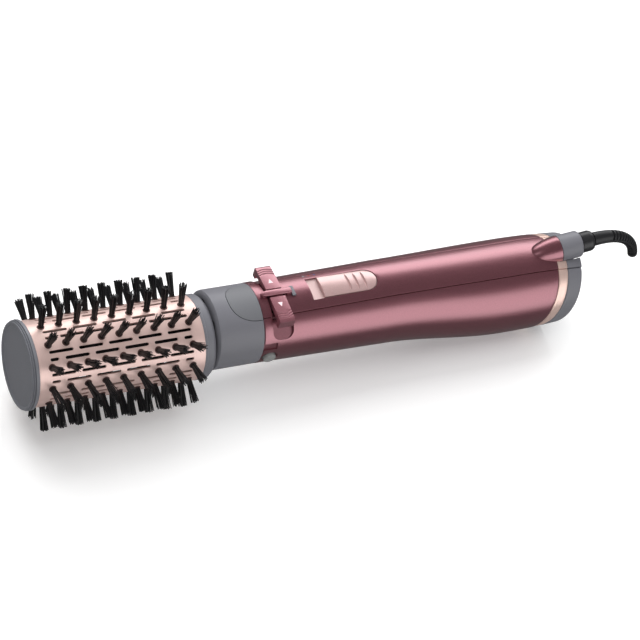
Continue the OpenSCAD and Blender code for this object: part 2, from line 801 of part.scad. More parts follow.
module cord_boot() color(black) lie() difference() {
    union() {
        segments = 2 * boot_ribs;
        for (i = [0:segments - 1]) {
            t0 = i / segments;
            t1 = (i + 1) / segments;
            p = boot_point(t0);
            step = norm(boot_point(t1) - p);
            rib = i % 2 == 0 || i == segments - 1 ? 0 : 0.45;
            lean = i == 0 ? -exit_tilt : (boot_lean(t0) + boot_lean(t1)) / 2;
            translate(p) rotate([0, 90 + lean, 0]) translate([0, 0, i == 0 ? 0.02 : -0.2])
                cylinder(r = boot_rad(t0) - rib, h = step + 0.4, $fn = 36);
        }
    }
    translate(boot_point(1)) rotate([0, -90 + boot_lean(1), 0]) translate([0, 0, -3])
        cylinder(r = cord_bore_r, h = 3 + cord_bore_len, $fn = 36);
}

// ---------- rotation drive ----------

module drive_spindle() color(steel) lie() union() {
    translate([shaft_end_x - socket_depth + 1, 0, 0]) rotate([0, 90, 0])
        cylinder(r = dog_r, h = socket_depth + 2, $fn = 6);
    rod_x(shaft_end_x + 1.5, shaft_end_x + 4, 4.4);
    rod_x(shaft_end_x + 4, gear_x + 4, 2);
}

module gear_motor() color(steel) lie() difference() {
    union() {
        rod_x(gear_x, gear_x + gear_motor_len, gear_motor_r);
        rod_x(gear_x - 2, gear_x, 4);
    }
    rod_x(gear_x - 3, gear_x + 4.5, 2 + fit_gap);
}

module motor_bracket() color(cap_grey) lie() difference() {
    rod_x(gear_x + 4, gear_x + 9, grip_r - shell_wall - 0.3, neck_rise);
    rod_x(gear_x + 3, gear_x + 10, gear_motor_r + 0.02);
    for (k = [-2:2]) translate([0, 0, neck_rise]) rotate([180 + 48 * k, 0, 0])
        rod_x(gear_x + 3, gear_x + 10, 2.6, k == 0 ? 14.9 : 14.2);
    translate([gear_x, -9, track_z - 8]) cube([12, 18, 20]);
}

// ---------- heater and fan ----------

module heater_frame() color(mica) lie() translate([0, 0, heater_z]) union() {
    for (k = [0:2]) rotate([60 * k, 0, 0])
        translate([heater_x, -0.4, -heater_r]) cube([heater_len, 0.8, 2 * heater_r]);
    for (x = [heater_x, heater_x + heater_len - 1])
        tube_x(x, x + 1, grip_rad(x) - shell_wall - 0.6, heater_r - 3, axis_z(x) - heater_z);
}

module heater_coil() color(steel) lie() translate([heater_x + 4, 0, heater_z]) rotate([0, 90, 0])
    helix_wire(heater_r + 0.7, 4.6, 6, 0.45, 20, 5);

module thermostat() color(steel) lie() translate([heater_x + heater_len, 0, heater_z])
    rod_x(0, 4, 4.5, 6);

module fan_motor() color(steel) lie() difference() {
    rod_x(fan_x, fan_x + fan_motor_len, fan_motor_r, fan_z);
    rod_x(fan_x + fan_motor_len - 6, fan_x + fan_motor_len + 1, fan_shaft_r + fit_gap, fan_z);
}

module fan_rotor() color(black) lie() translate([0, 0, fan_z]) union() {
    rod_x(fan_x + fan_motor_len - 5.5, rotor_x + 2, fan_shaft_r);
    rod_x(rotor_x, rotor_x + 8, 6);
    for (k = [0:8]) rotate([40 * k, 0, 0]) translate([rotor_x + 4, 0, 5])
        rotate([0, 0, 40]) translate([-4.2, -0.5, 0]) cube([8.4, 1, rotor_r - 5.6]);
}

module motor_cradle() color(cap_grey) lie() difference() {
    union() {
        rod_x(fan_x + 4, fan_x + 7, grip_rad(fan_x + 4) - shell_wall - 0.6, axis_z(fan_x + 5));
        rod_x(fan_x + 16, fan_x + 19, grip_rad(fan_x + 16) - shell_wall - 0.6, axis_z(fan_x + 17));
    }
    rod_x(fan_x, fan_x + fan_motor_len, fan_motor_r + 0.02, fan_z);
    for (k = [0:5]) translate([0, 0, fan_z]) rotate([60 * k, 0, 0])
        rod_x(fan_x, fan_x + 22, 3, 15.2);
}

// Board in the bottom of the grip, behind the motor bracket
module control_board() color([0.20, 0.42, 0.26]) lie() union() {
    translate([board_x, -8, board_z]) cube([30, 16, 1.2]);
    translate([board_x + 4, -5, board_z + 1]) cube([6, 5, 1.6]);
    translate([board_x + 18, 0, board_z + 1]) cube([5, 4, 1.4]);
}

// Screws that hold the shells together from below
module at_screws() {
    for (x = screw_stations) translate([x, 0, axis_z(x) - grip_rad(x)]) children();
}
module shell_screws() color(steel) lie() at_screws() union() {
    translate([0, 0, 0.3]) cylinder(r = screw_head_r, h = 0.8);
    translate([0, 0, 1]) cylinder(r = screw_r, h = 5);
}
module screw_holes() at_screws() {
    translate([0, 0, -1]) cylinder(r = screw_head_r + 0.15, h = 2.1);
    translate([0, 0, -1]) cylinder(r = screw_r + 0.15, h = 6);
}

end_cap();
barrel();
bristle_strips();
rear_collar();
brush_hub();
brush_shaft();
core_tube();
neck();
thumb_pad();
neck_spigot();
neck_bush();
main_shell();
top_shell();
socket_ring();
rotation_rocker();
rocker_pin();
rocker_tray();
rocker_bridge();
bridge_foot();
switch_knob();
knob_carrier();
switch_track();
slide_switch();
position_marks();
release_button();
button_spring();
trim_band();
trim_band_top();
rear_cover();
rear_cover_top();
inlet_grille();
filter_mesh();
exit_fairing();
cord_collar();
swivel_body();
cord_boot();
drive_spindle();
gear_motor();
motor_bracket();
heater_frame();
heater_coil();
thermostat();
fan_rotor();
fan_motor();
motor_cradle();
control_board();
shell_screws();
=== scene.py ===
import json
import math
import random

import bmesh
import bpy
from mathutils import Matrix, Vector


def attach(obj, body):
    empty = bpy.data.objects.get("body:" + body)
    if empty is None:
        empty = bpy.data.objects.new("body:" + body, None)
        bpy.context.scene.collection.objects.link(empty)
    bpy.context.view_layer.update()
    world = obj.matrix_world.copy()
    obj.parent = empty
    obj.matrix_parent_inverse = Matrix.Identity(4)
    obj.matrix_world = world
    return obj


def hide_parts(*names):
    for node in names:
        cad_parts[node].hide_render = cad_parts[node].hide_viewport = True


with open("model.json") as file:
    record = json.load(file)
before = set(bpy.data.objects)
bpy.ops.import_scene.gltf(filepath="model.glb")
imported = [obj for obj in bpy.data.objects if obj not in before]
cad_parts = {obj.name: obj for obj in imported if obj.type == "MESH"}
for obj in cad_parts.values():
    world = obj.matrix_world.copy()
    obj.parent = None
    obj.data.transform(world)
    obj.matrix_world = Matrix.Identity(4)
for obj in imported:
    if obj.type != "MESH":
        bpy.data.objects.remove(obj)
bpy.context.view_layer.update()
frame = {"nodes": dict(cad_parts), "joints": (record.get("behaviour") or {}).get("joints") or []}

MM = 0.001

# ---------------------------------------------------------------------------
# The brush's own frame: millimetres along the barrel's axis from the end cap,
# Y across, Z up out of the controls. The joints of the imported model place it.
# ---------------------------------------------------------------------------

JOINTS = {joint["name"]: joint for joint in frame["joints"]}
BARREL_AXIS = Vector(JOINTS["brush_spin"]["axis"])
BRUSH_UP = Vector((-BARREL_AXIS.z, 0, BARREL_AXIS.x))
COLLAR_X = 88.9
NOSE = Vector(JOINTS["brush_spin"]["pos_m"]) - BARREL_AXIS * COLLAR_X * MM


def along(x, y, z):
    """Direction in the model's frame from the brush's own axes."""
    return BARREL_AXIS * x + Vector((0, y, 0)) + BRUSH_UP * z


def at(x, y, z):
    """Point in metres from the brush's own millimetres."""
    return NOSE + along(x, y, z) * MM


BRUSH_FRAME = Matrix.Translation(NOSE) @ Matrix(
    (
        (BARREL_AXIS.x, 0, BRUSH_UP.x, 0),
        (0, 1, 0, 0),
        (BARREL_AXIS.z, 0, BRUSH_UP.z, 0),
        (0, 0, 0, 1),
    )
) @ Matrix.Scale(MM, 4)

# Sizes shared with the moulded parts
BARREL_R = 21.0
BARREL_X = 3.8
BORE_R = 19.8
CAP_R = 22.0
NECK_Z = 3.7
GRIP_X = 119.9
GRIP_R = 20.0
BAND_X = 286.4
COVER_X = 291.9
TAIL_X = 300.5
REAR_LEAN = 14.0
WALL = 2.0
SEAM_HALF = 10.8
TUFTS = 9
TUFT_PITCH = 9.0
ROWS = 12
TUFT_TIP = 33.2
ROCKER_X = GRIP_X + 5.5
ROCKER_W = 8.1
ROCKER_HALF = 17.5
ROCKER_TOP = 25.3
PIN_Z = 21.6
BRIDGE_HALF = 1.6
WINDOW_X = GRIP_X + 28.3
KNOB_X = WINDOW_X + 6.3
KNOB_LEN = 30.0
KNOB_W = 12.4
WINDOW_GAP = 0.4
BUTTON_X = GRIP_X + 4.4
BUTTON_ANGLE = 100.0
EXIT_X = BAND_X + 3.1
EXIT_Z = 23.2
EXIT_TILT = 10.0
EXIT_R = 7.1
EXIT_LEN = 12.0
EXIT_FRAME = Matrix.Translation((EXIT_X, 0, EXIT_Z)) @ Matrix.Rotation(
    math.radians(90 - EXIT_TILT), 4, "Y"
)

# Turns an outline drawn in (y, z) so that it stands across the brush
ACROSS = Matrix(((0, 0, 1, 0), (1, 0, 0, 0), (0, 1, 0, 0), (0, 0, 0, 1)))


def ease(t):
    """A smooth step from 0 to 1."""
    t = min(max(t, 0.0), 1.0)
    return t * t * (3 - 2 * t)


def grip_radius(x):
    """Outer radius of the grip at a station along the brush."""
    swell = ease((x - GRIP_X - 70) / 70)
    front = GRIP_R + 1.1 * min((x - GRIP_X) / 70, 1)
    tail = max(0, (x - BAND_X + 22) / (TAIL_X - BAND_X + 22))
    return front + 3.0 * swell - 1.6 * tail**2


def grip_axis(x):
    """Height of the grip's middle at a station along the brush."""
    return NECK_Z - 3.8 * ease((x - GRIP_X - 70) / 70)


# ---------------------------------------------------------------------------
# Shader workbench
# ---------------------------------------------------------------------------


class Value:
    """A shader socket that takes part in Python expressions."""

    def __init__(self, finish, socket):
        self.finish = finish
        self.socket = socket

    def maths(self, operation, *others):
        return self.finish.node("ShaderNodeMath", {"operation": operation}, *others)

    def __add__(self, other):
        return self.maths("ADD", self, other)

    def __radd__(self, other):
        return self.maths("ADD", other, self)

    def __sub__(self, other):
        return self.maths("SUBTRACT", self, other)

    def __rsub__(self, other):
        return self.maths("SUBTRACT", other, self)

    def __mul__(self, other):
        return self.maths("MULTIPLY", self, other)

    def __rmul__(self, other):
        return self.maths("MULTIPLY", other, self)

    def __pow__(self, other):
        return self.maths("POWER", self, other)

    def limited(self):
        return self.finish.node("ShaderNodeClamp", {}, self)


def linear(red, green, blue):
    """A colour on the 0-255 scale of a paint chart, as light."""
    chart = [c / 255 for c in (red, green, blue)]
    light = [c / 12.92 if c <= 0.04045 else ((c + 0.055) / 1.055) ** 2.4 for c in chart]
    return (*light, 1.0)


class Finish:
    """A material on the bench, with one way to add each node."""

    def __init__(self, name, colour, roughness, **fixed):
        self.material = bpy.data.materials.new(name)
        self.material.use_nodes = True
        self.tree = self.material.node_tree
        self.shader = next(n for n in self.tree.nodes if n.type == "BSDF_PRINCIPLED")
        self.colour = colour
        self.roughness = roughness
        self.set("Base Color", colour)
        self.set("Roughness", roughness)
        self.material.diffuse_color = colour
        for socket, value in fixed.items():
            self.set(socket.replace("_", " ").title().replace("Ior", "IOR"), value)

    def set(self, socket, value):
        target = self.shader.inputs[socket]
        if isinstance(value, Value):
            self.tree.links.new(value.socket, target)
        else:
            target.default_value = value

    def node(self, kind, settings, *values, output=0, **named):
        made = self.tree.nodes.new(kind)
        for key, setting in settings.items():
            if key == "stops":
                ramp = made.color_ramp
                while len(ramp.elements) < len(setting):
                    ramp.elements.new(0.5)
                for element, (place, colour) in zip(ramp.elements, setting):
                    element.position = place
                    element.color = colour
            else:
                setattr(made, key, setting)
        pairs = list(enumerate(values))
        pairs += [(key.replace("_", " "), value) for key, value in named.items()]
        for key, value in pairs:
            if value is None:
                continue
            target = made.inputs[key]
            if isinstance(value, Value):
                self.tree.links.new(value.socket, target)
            else:
                target.default_value = value
        return Value(self, made.outputs[output])

    def place(self):
        return self.node("ShaderNodeTexCoord", {}, output=3)

    def stretched(self, x, y, z):
        return self.node(
            "ShaderNodeVectorMath", {"operation": "MULTIPLY"}, self.place(), (x, y, z)
        )

    def noise(self, scale, detail=2.0, where=None):
        return self.node(
            "ShaderNodeTexNoise", {}, Vector=where or self.place(), Scale=scale, Detail=detail
        )

    def cells(self, scale, where=None, output=0):
        return self.node(
            "ShaderNodeTexVoronoi", {}, Vector=where or self.place(), Scale=scale, output=output
        )

    def mixed(self, share, one, other):
        """A colour between one and other."""
        mix = self.tree.nodes.new("ShaderNodeMix")
        mix.data_type = "RGBA"
        for socket, value in ((mix.inputs[0], share), (mix.inputs[6], one), (mix.inputs[7], other)):
            if isinstance(value, Value):
                self.tree.links.new(value.socket, socket)
            else:
                socket.default_value = value
        return Value(self, mix.outputs[2])

    def bump(self, height, strength, distance):
        self.set(
            "Normal",
            self.node(
                "ShaderNodeBump", {}, Height=height, Strength=strength, Distance=distance
            ),
        )


def shade(colour, factor):
    return (*[min(c * factor, 1.0) for c in colour[:3]], 1.0)


def lacquer(name, colour, roughness, metallic, flake):
    """Metallic paint: fine flakes under a clear coat, a slow drift of tone."""
    paint = Finish(
        name, colour, roughness, metallic=metallic, coat_weight=1.0, coat_roughness=0.28, coat_ior=1.8
    )
    flakes = paint.cells(2600, output=1)
    drift = paint.noise(18, 2)
    sparkle = paint.node("ShaderNodeSeparateColor", {}, flakes)
    paint.set(
        "Base Color",
        paint.mixed(
            (sparkle * 0.75 + drift * 0.25).limited(),
            shade(colour, 1 - flake),
            shade(colour, 1 + flake),
        ),
    )
    paint.set("Roughness", roughness - 0.05 + sparkle * 0.07 + drift * 0.03)
    paint.bump(sparkle, 0.05, 0.00004)
    return paint


def moulded(name, colour, roughness, grain=900.0, depth=0.12, **fixed):
    """Moulded plastic: a fine spark-eroded grain and faint flow marks."""
    plastic = Finish(name, colour, roughness, **fixed)
    fine = plastic.noise(grain, 3)
    flow = plastic.noise(35, 2)
    plastic.set(
        "Base Color",
        plastic.mixed((flow * 0.7 + fine * 0.3).limited(), shade(colour, 0.93), shade(colour, 1.07)),
    )
    plastic.set("Roughness", roughness - 0.04 + fine * 0.08)
    plastic.bump(fine, depth, 0.00008)
    return plastic


def turned_metal(name, colour, roughness, lines=(60, 2400, 2400), depth=0.06, metallic=1.0):
    """Metal with fine drawn lines."""
    metal = Finish(name, colour, roughness, metallic=metallic)
    streak = metal.noise(1.0, 3, where=metal.stretched(*lines))
    stain = metal.noise(40, 2)
    metal.set(
        "Base Color",
        metal.mixed((streak * 0.6 + stain * 0.4).limited(), shade(colour, 0.9), shade(colour, 1.1)),
    )
    metal.set("Roughness", roughness - 0.05 + streak * 0.1)
    metal.bump(streak, depth, 0.00004)
    return metal


plum = lacquer("plum_lacquer", linear(156, 90, 102), 0.34, 0.85, 0.10)
plum_pad = lacquer("plum_pad_lacquer", linear(172, 106, 118), 0.34, 0.7, 0.10)
barrel_rose = turned_metal(
    "rose_anodised_barrel", linear(240, 208, 200), 0.38, (2600, 90, 90), 0.05, 0.5
)
band_gold = turned_metal("rose_gold_band", linear(244, 212, 200), 0.32, (200, 1400, 1400), 0.05, 0.6)
knob_rose = lacquer("pearl_rose_knob", linear(206, 170, 168), 0.38, 0.5, 0.07)
track_rose = lacquer("pearl_rose_track", linear(212, 180, 178), 0.42, 0.4, 0.05)
body_grey = moulded("satin_grey_body", linear(110, 110, 116), 0.42)
cap_grey = moulded("end_cap_grey", linear(112, 113, 119), 0.42)
pad_grey = moulded("thumb_pad_grey", linear(106, 107, 111), 0.5, 1500, 0.2)
inner_grey = moulded("inner_dark_grey", linear(60, 60, 63), 0.55)
# Black for inner parts; on the rocker's well walls and on the core tube behind the barrel's slots it is
# painted shade
shadow_black = moulded("inner_black_and_painted_shade", linear(14, 13, 13), 0.7)
gloss_black = moulded("swivel_black", linear(36, 36, 38), 0.34, 700, 0.1)
boot_black = moulded("boot_rubber", linear(30, 30, 32), 0.46, 1200, 0.2)
bristle_black = moulded("bristle_nylon", linear(26, 26, 28), 0.38, 500, 0.08)
eyelet_brown = moulded("eyelet_brown", linear(74, 52, 47), 0.4)
button_grey = moulded("button_grey", linear(132, 133, 132), 0.4)
steel = turned_metal("drawn_steel", linear(190, 192, 196), 0.32)
bronze = turned_metal("sintered_bronze", linear(190, 158, 104), 0.42)
mica = moulded("mica_sheet", linear(214, 198, 160), 0.5, 300, 0.2)
board_green = moulded("circuit_board", linear(44, 92, 60), 0.4, 300, 0.15)
mark_grey = moulded("mark_grey", linear(170, 170, 176), 0.4)
mark_red = moulded("mark_red", linear(176, 74, 74), 0.4)
mark_blue = moulded("mark_blue", linear(70, 84, 140), 0.4)
arrow_light = moulded("arrow_print", linear(244, 214, 218), 0.45)

# ---------------------------------------------------------------------------
# Mesh workbench
# ---------------------------------------------------------------------------


def linked(name, mesh):
    made = bpy.data.objects.new(name, mesh)
    bpy.context.scene.collection.objects.link(made)
    return made


def mesh_of(points, faces):
    """A closed mesh in the brush's own millimetres, normals out."""
    mesh = bpy.data.meshes.new("blank")
    mesh.from_pydata([Vector(p) for p in points], [], faces)
    shape = bmesh.new()
    shape.from_mesh(mesh)
    bmesh.ops.recalc_face_normals(shape, faces=shape.faces)
    shape.to_mesh(mesh)
    shape.free()
    return mesh


def cut(mesh, cutters, operation="DIFFERENCE"):
    """The mesh with each cutter taken away, or with what they share."""
    blank = linked("blank", mesh)
    tools = [linked("cutter", cutter) for cutter in cutters]
    for tool in tools:
        step = blank.modifiers.new("cut", "BOOLEAN")
        step.operation = operation
        step.solver = "EXACT"
        step.object = tool
    bpy.context.view_layer.update()
    result = bpy.data.meshes.new_from_object(
        blank.evaluated_get(bpy.context.evaluated_depsgraph_get())
    )
    for spent in [blank, *tools]:
        bpy.data.objects.remove(spent)
    return result


def eased_edges(mesh, width, angle=35, segments=2):
    """The mesh with its sharp edges rounded by a small bevel."""
    blank = linked("blank", mesh)
    step = blank.modifiers.new("ease", "BEVEL")
    step.width = width
    step.segments = segments
    step.limit_method = "ANGLE"
    step.angle_limit = math.radians(angle)
    step.use_clamp_overlap = True
    bpy.context.view_layer.update()
    result = bpy.data.meshes.new_from_object(
        blank.evaluated_get(bpy.context.evaluated_depsgraph_get())
    )
    bpy.data.objects.remove(blank)
    return result


def piece(name, mesh, body, finish, replaces=(), sharp=32):
    """A finished piece, moved from the brush's frame and fixed to its body."""
    mesh.transform(BRUSH_FRAME)
    mesh.shade_smooth()
    mesh.set_sharp_from_angle(angle=math.radians(sharp))
    mesh.materials.clear()
    mesh.materials.append(finish.material)
    made = linked(name, mesh)
    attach(made, body)
    if replaces:
        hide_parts(*replaces)
    return made


def joined(meshes):
    """Several meshes as one."""
    shape = bmesh.new()
    for mesh in meshes:
        shape.from_mesh(mesh)
    result = bpy.data.meshes.new("joined")
    shape.to_mesh(result)
    shape.free()
    return result


def box(x1, x2, y1, y2, z1, z2):
    """A block between six faces."""
    corners = [(x, y, z) for x in (x1, x2) for y in (y1, y2) for z in (z1, z2)]
    faces = [(0, 1, 3, 2), (4, 6, 7, 5), (0, 4, 5, 1), (2, 3, 7, 6), (0, 2, 6, 4), (1, 5, 7, 3)]
    return mesh_of(corners, faces)


def prism(outline, bottom, top):
    """An outline of (x, y) points drawn up from bottom to top."""
    n = len(outline)
    points = [(x, y, bottom) for x, y in outline] + [(x, y, top) for x, y in outline]
    faces = [tuple(range(n))[::-1], tuple(range(n, 2 * n))]
    faces += [(i, (i + 1) % n, n + (i + 1) % n, n + i) for i in range(n)]
    return mesh_of(points, faces)


def lathe(profile, sides=96, closed=True):
    """A profile of (radius, station) points turned about Z."""
    points, rings = [], []
    for radius, station in profile:
        if radius < 1e-6:
            rings.append([len(points)])
            points.append((0, 0, station))
            continue
        rings.append(list(range(len(points), len(points) + sides)))
        points += [
            (
                radius * math.cos(2 * math.pi * k / sides),
                radius * math.sin(2 * math.pi * k / sides),
                station,
            )
            for k in range(sides)
        ]
    faces = []
    pairs = list(zip(rings, rings[1:]))
    if closed:
        pairs.append((rings[-1], rings[0]))
    for one, other in pairs:
        if len(one) == 1 and len(other) == 1:
            continue
        for k in range(sides):
            j = (k + 1) % sides
            if len(one) == 1:
                faces.append((one[0], other[k], other[j]))
            elif len(other) == 1:
                faces.append((one[k], other[0], one[j]))
            else:
                faces.append((one[k], other[k], other[j], one[j]))
    return mesh_of(points, faces)


def laid_along_x(mesh, z=0.0):
    """A turned piece with its axis laid along the brush."""
    mesh.transform(Matrix.Translation((0, 0, z)) @ Matrix.Rotation(math.pi / 2, 4, "Y"))
    return mesh


def rolled(angle, z=0.0):
    """Turns a piece from the top of the brush down towards -Y by an angle in degrees."""
    return Matrix.Translation((0, 0, z)) @ Matrix.Rotation(math.radians(angle), 4, "X")


def rounded(profile, radius, steps=4):
    """The (radius, station) profile with its inner corners eased; ends stay."""
    out = [profile[0]]
    for before, here, after in zip(profile, profile[1:], profile[2:]):
        here = Vector(here)
        to_before, to_after = Vector(before) - here, Vector(after) - here
        reach = min(radius, to_before.length * 0.45, to_after.length * 0.45)
        start, end = here + to_before.normalized() * reach, here + to_after.normalized() * reach
        for k in range(steps + 1):
            t = k / steps
            out.append(tuple((1 - t) ** 2 * start + 2 * t * (1 - t) * here + t * t * end))
    out.append(profile[-1])
    return out


def swept(path, radii, sides=28):
    """A tube along points in the plane Y = 0, with a radius for each point."""
    points, faces = [], []
    for i, (here, radius) in enumerate(zip(path, radii)):
        before, after = path[max(i - 1, 0)], path[min(i + 1, len(path) - 1)]
        run = (Vector(after) - Vector(before)).normalized()
        side = Vector((0, 1, 0))
        out = side.cross(run)
        points += [
            Vector(here)
            + radius * (math.cos(a) * out + math.sin(a) * side)
            for a in (2 * math.pi * k / sides for k in range(sides))
        ]
    for i in range(len(path) - 1):
        for k in range(sides):
            j = (k + 1) % sides
            faces.append((i * sides + k, i * sides + j, (i + 1) * sides + j, (i + 1) * sides + k))
    last = (len(path) - 1) * sides
    faces += [tuple(range(sides))[::-1], tuple(range(last, last + sides))]
    return mesh_of(points, faces)


# ---------------------------------------------------------------------------
# Camera, floor and lights
# ---------------------------------------------------------------------------


def set_camera():
    camera = bpy.data.cameras.new("camera")
    camera.lens = 157.84
    camera.sensor_width = 36
    camera.clip_start = 0.05
    camera.clip_end = 30
    place = Vector((-420.6, -732.2, 1037.8))
    target = Vector((161.4, 0.0, -4.0))
    level = math.radians(2.3)
    roll = math.radians(18.3)
    back = (place - target).normalized()
    right = Vector((-math.sin(level), 0, math.cos(level))).cross(back).normalized()
    up = back.cross(right)
    across = along(*(math.cos(roll) * right + math.sin(roll) * up))
    above = along(*(math.cos(roll) * up - math.sin(roll) * right))
    behind = along(*back)
    stand = linked("camera", camera)
    where = at(*place)
    stand.matrix_world = Matrix(
        (
            (across.x, above.x, behind.x, where.x),
            (across.y, above.y, behind.y, where.y),
            (across.z, above.z, behind.z, where.z),
            (0, 0, 0, 1),
        )
    )
    bpy.context.scene.camera = stand


def lay_floor():
    """A wide sheet of plain pale paper under the brush."""
    paper = Finish("floor_paper", (0.86, 0.86, 0.86, 1.0), 0.7, emission_strength=0.22)
    paper.set("Emission Color", (1, 1, 1, 1))
    paper.set("Base Color", paper.mixed(paper.noise(3, 2), (0.85, 0.85, 0.85, 1), (0.87, 0.87, 0.87, 1)))
    reach = 14
    mesh = bpy.data.meshes.new("floor")
    corners = [(-reach, -reach, 0), (reach, -reach, 0), (reach, reach, 0), (-reach, reach, 0)]
    mesh.from_pydata(corners, [], [(0, 1, 2, 3)])
    mesh.materials.append(paper.material)
    floor = linked("floor", mesh)
    floor.visible_glossy = False
    return floor


AIM_HEIGHT = 0.03


def softbox(name, angle, distance, x, length, width, power):
    """A long soft light over the brush, at an angle from straight up towards -Y."""
    lamp = bpy.data.lights.new(name, "AREA")
    lamp.shape = "RECTANGLE"
    lamp.size = length
    lamp.size_y = width
    lamp.energy = power
    stand = linked(name, lamp)
    lean = math.radians(angle)
    place = Vector((x, -distance * math.sin(lean), AIM_HEIGHT + distance * math.cos(lean)))
    behind = (place - Vector((0, 0, AIM_HEIGHT))).normalized()
    across = Vector((0, 1, 0)).cross(behind).normalized() if abs(angle) < 5 else Vector(
        (1, 0, 0)
    )
    across = (across - behind * across.dot(behind)).normalized()
    above = behind.cross(across)
    stand.matrix_world = Matrix(
        (
            (across.x, above.x, behind.x, place.x),
            (across.y, above.y, behind.y, place.y),
            (across.z, above.z, behind.z, place.z),
            (0, 0, 0, 1),
        )
    )
    return stand


def light_studio():
    """Long soft lights above and beside, two ceilings and a dim surround."""
    softbox("key_behind", -57, 1.15, 0.4, 1.9, 0.66, 10)
    softbox("fill_front", 84, 1.2, 0.45, 1.7, 1.1, 9.2)
    softbox("nose_light", 20, 1.6, -1.2, 0.8, 0.8, 2)
    for name, angle, power in (("ceiling_behind", -30, 17), ("ceiling", 8, 9)):
        lamp = softbox(name, angle, 1.4, 0.0, 1.6, 0.9, power)
        lamp.visible_glossy = False
    world = bpy.data.worlds.new("studio")
    bpy.context.scene.world = world
    world.use_nodes = True
    air = world.node_tree.nodes["Background"]
    air.inputs["Color"].default_value = (1, 1, 1, 1)
    air.inputs["Strength"].default_value = 0.12
    bpy.context.scene.view_settings.view_transform = "Standard"
    bpy.context.scene.view_settings.look = "None"


set_camera()
lay_floor()
light_studio()

# ---------------------------------------------------------------------------
# Brush head
# ---------------------------------------------------------------------------

ROW_ANGLES = [15 + 30 * k for k in range(ROWS)]
TUFT_XS = [
    BARREL_X + (COLLAR_X - BARREL_X - TUFT_PITCH * (TUFTS - 1)) / 2 + TUFT_PITCH * i
    for i in range(TUFTS)
]


def make_bristles():
    """Tufts of separate filaments that flare from the eyelet to a flat cut."""
    chance = random.Random(7)
    points, faces = [], []
    sides, count = 4, 30
    for angle in ROW_ANGLES:
        for x in TUFT_XS:
            turn = rolled(angle)
            lean = (chance.uniform(-0.35, 0.35), chance.uniform(-0.35, 0.35))
            for k in range(count):
                spread = math.sqrt((k + 0.5) / count)
                a = k * 2.39996 + chance.uniform(-0.25, 0.25)
                base = (1.1 * spread * math.cos(a), 1.1 * spread * math.sin(a))
                reach = 2.15 + chance.uniform(-0.3, 0.3)
                tip = (
                    lean[0] + reach * spread * math.cos(a) + chance.uniform(-0.15, 0.15),
                    lean[1] + reach * spread * math.sin(a) + chance.uniform(-0.15, 0.15),
                )
                top = TUFT_TIP - chance.choice([0.0, 0.0, 0.1, 0.25, 0.6])
                start = len(points)
                for t in (0.0, 0.55, 1.0):
                    bend = t * t * 0.35 + t * 0.65
                    z = BORE_R - 0.3 + (top - BORE_R + 0.3) * t
                    cx = base[0] + (tip[0] - base[0]) * bend
                    cy = base[1] + (tip[1] - base[1]) * bend
                    thick = 0.25 - 0.03 * t
                    for s in range(sides):
                        b = 2 * math.pi * s / sides + a
                        points.append(
                            turn @ Vector((x + cx + thick * math.cos(b), cy + thick * math.sin(b), z))
                        )
                for ring in (0, 1):
                    for s in range(sides):
                        n = (s + 1) % sides
                        low, high = start + ring * sides, start + (ring + 1) * sides
                        faces.append((low + s, low + n, high + n, high + s))
                faces.append(tuple(start + 2 * sides + s for s in range(sides)))
                faces.append(tuple(start + sides - 1 - s for s in range(sides)))
    mesh = bpy.data.meshes.new("bristles")
    mesh.from_pydata(points, [], faces)
    piece("bristle_tufts", mesh, "brush", bristle_black, ("bristle_strips",), 60)


def make_tuft_strips():
    """The rails inside the barrel that hold the tufts."""
    rails = []
    for angle in ROW_ANGLES:
        rail = box(TUFT_XS[0] - 3, TUFT_XS[-1] + 3, -1.7, 1.7, BORE_R - 2.1, BORE_R - 0.3)
        rail.transform(rolled(angle))
        rails.append(rail)
    piece("tuft_rails", joined(rails), "brush", shadow_black)


def make_eyelets():
    rings = []
    profile = rounded([(1.1, 20.3), (1.1, 21.1), (1.4, 21.4), (1.85, 21.2), (2.0, 20.5)], 0.12, 2)
    for angle in ROW_ANGLES:
        for x in TUFT_XS:
            ring = lathe(profile, 14)
            ring.transform(rolled(angle) @ Matrix.Translation((x, 0, 0)))
            rings.append(ring)
    piece("tuft_eyelets", joined(rings), "brush", eyelet_brown)


def make_end_cap():
    """Stepped grey cap that closes the free end of the barrel."""
    profile = [
        (0, 0.95), (CAP_R - 2.6, 0.9), (CAP_R - 2.2, 0.9), (CAP_R - 1.7, 0.3), (CAP_R - 1.05, 0.0),
        (CAP_R - 0.6, 0.2), (CAP_R - 0.95, 0.8), (CAP_R - 0.3, 0.95), (CAP_R - 0.1, 1.25),
        (CAP_R - 0.8, 1.4), (CAP_R - 0.8, 1.85), (CAP_R, 1.95), (CAP_R, 3.4), (CAP_R - 0.4, 3.8),
        (BARREL_R + 0.05, 3.8), (BARREL_R + 0.05, 2.2), (0, 2.2),
    ]
    cap = laid_along_x(lathe(rounded(profile, 0.16, 3), 128))
    piece("end_cap_moulding", cap, "brush", cap_grey, ("end_cap",), 40)


make_bristles()
make_tuft_strips()
make_eyelets()
make_end_cap()

# ---------------------------------------------------------------------------
# Handle shells, band and rear cover
# ---------------------------------------------------------------------------


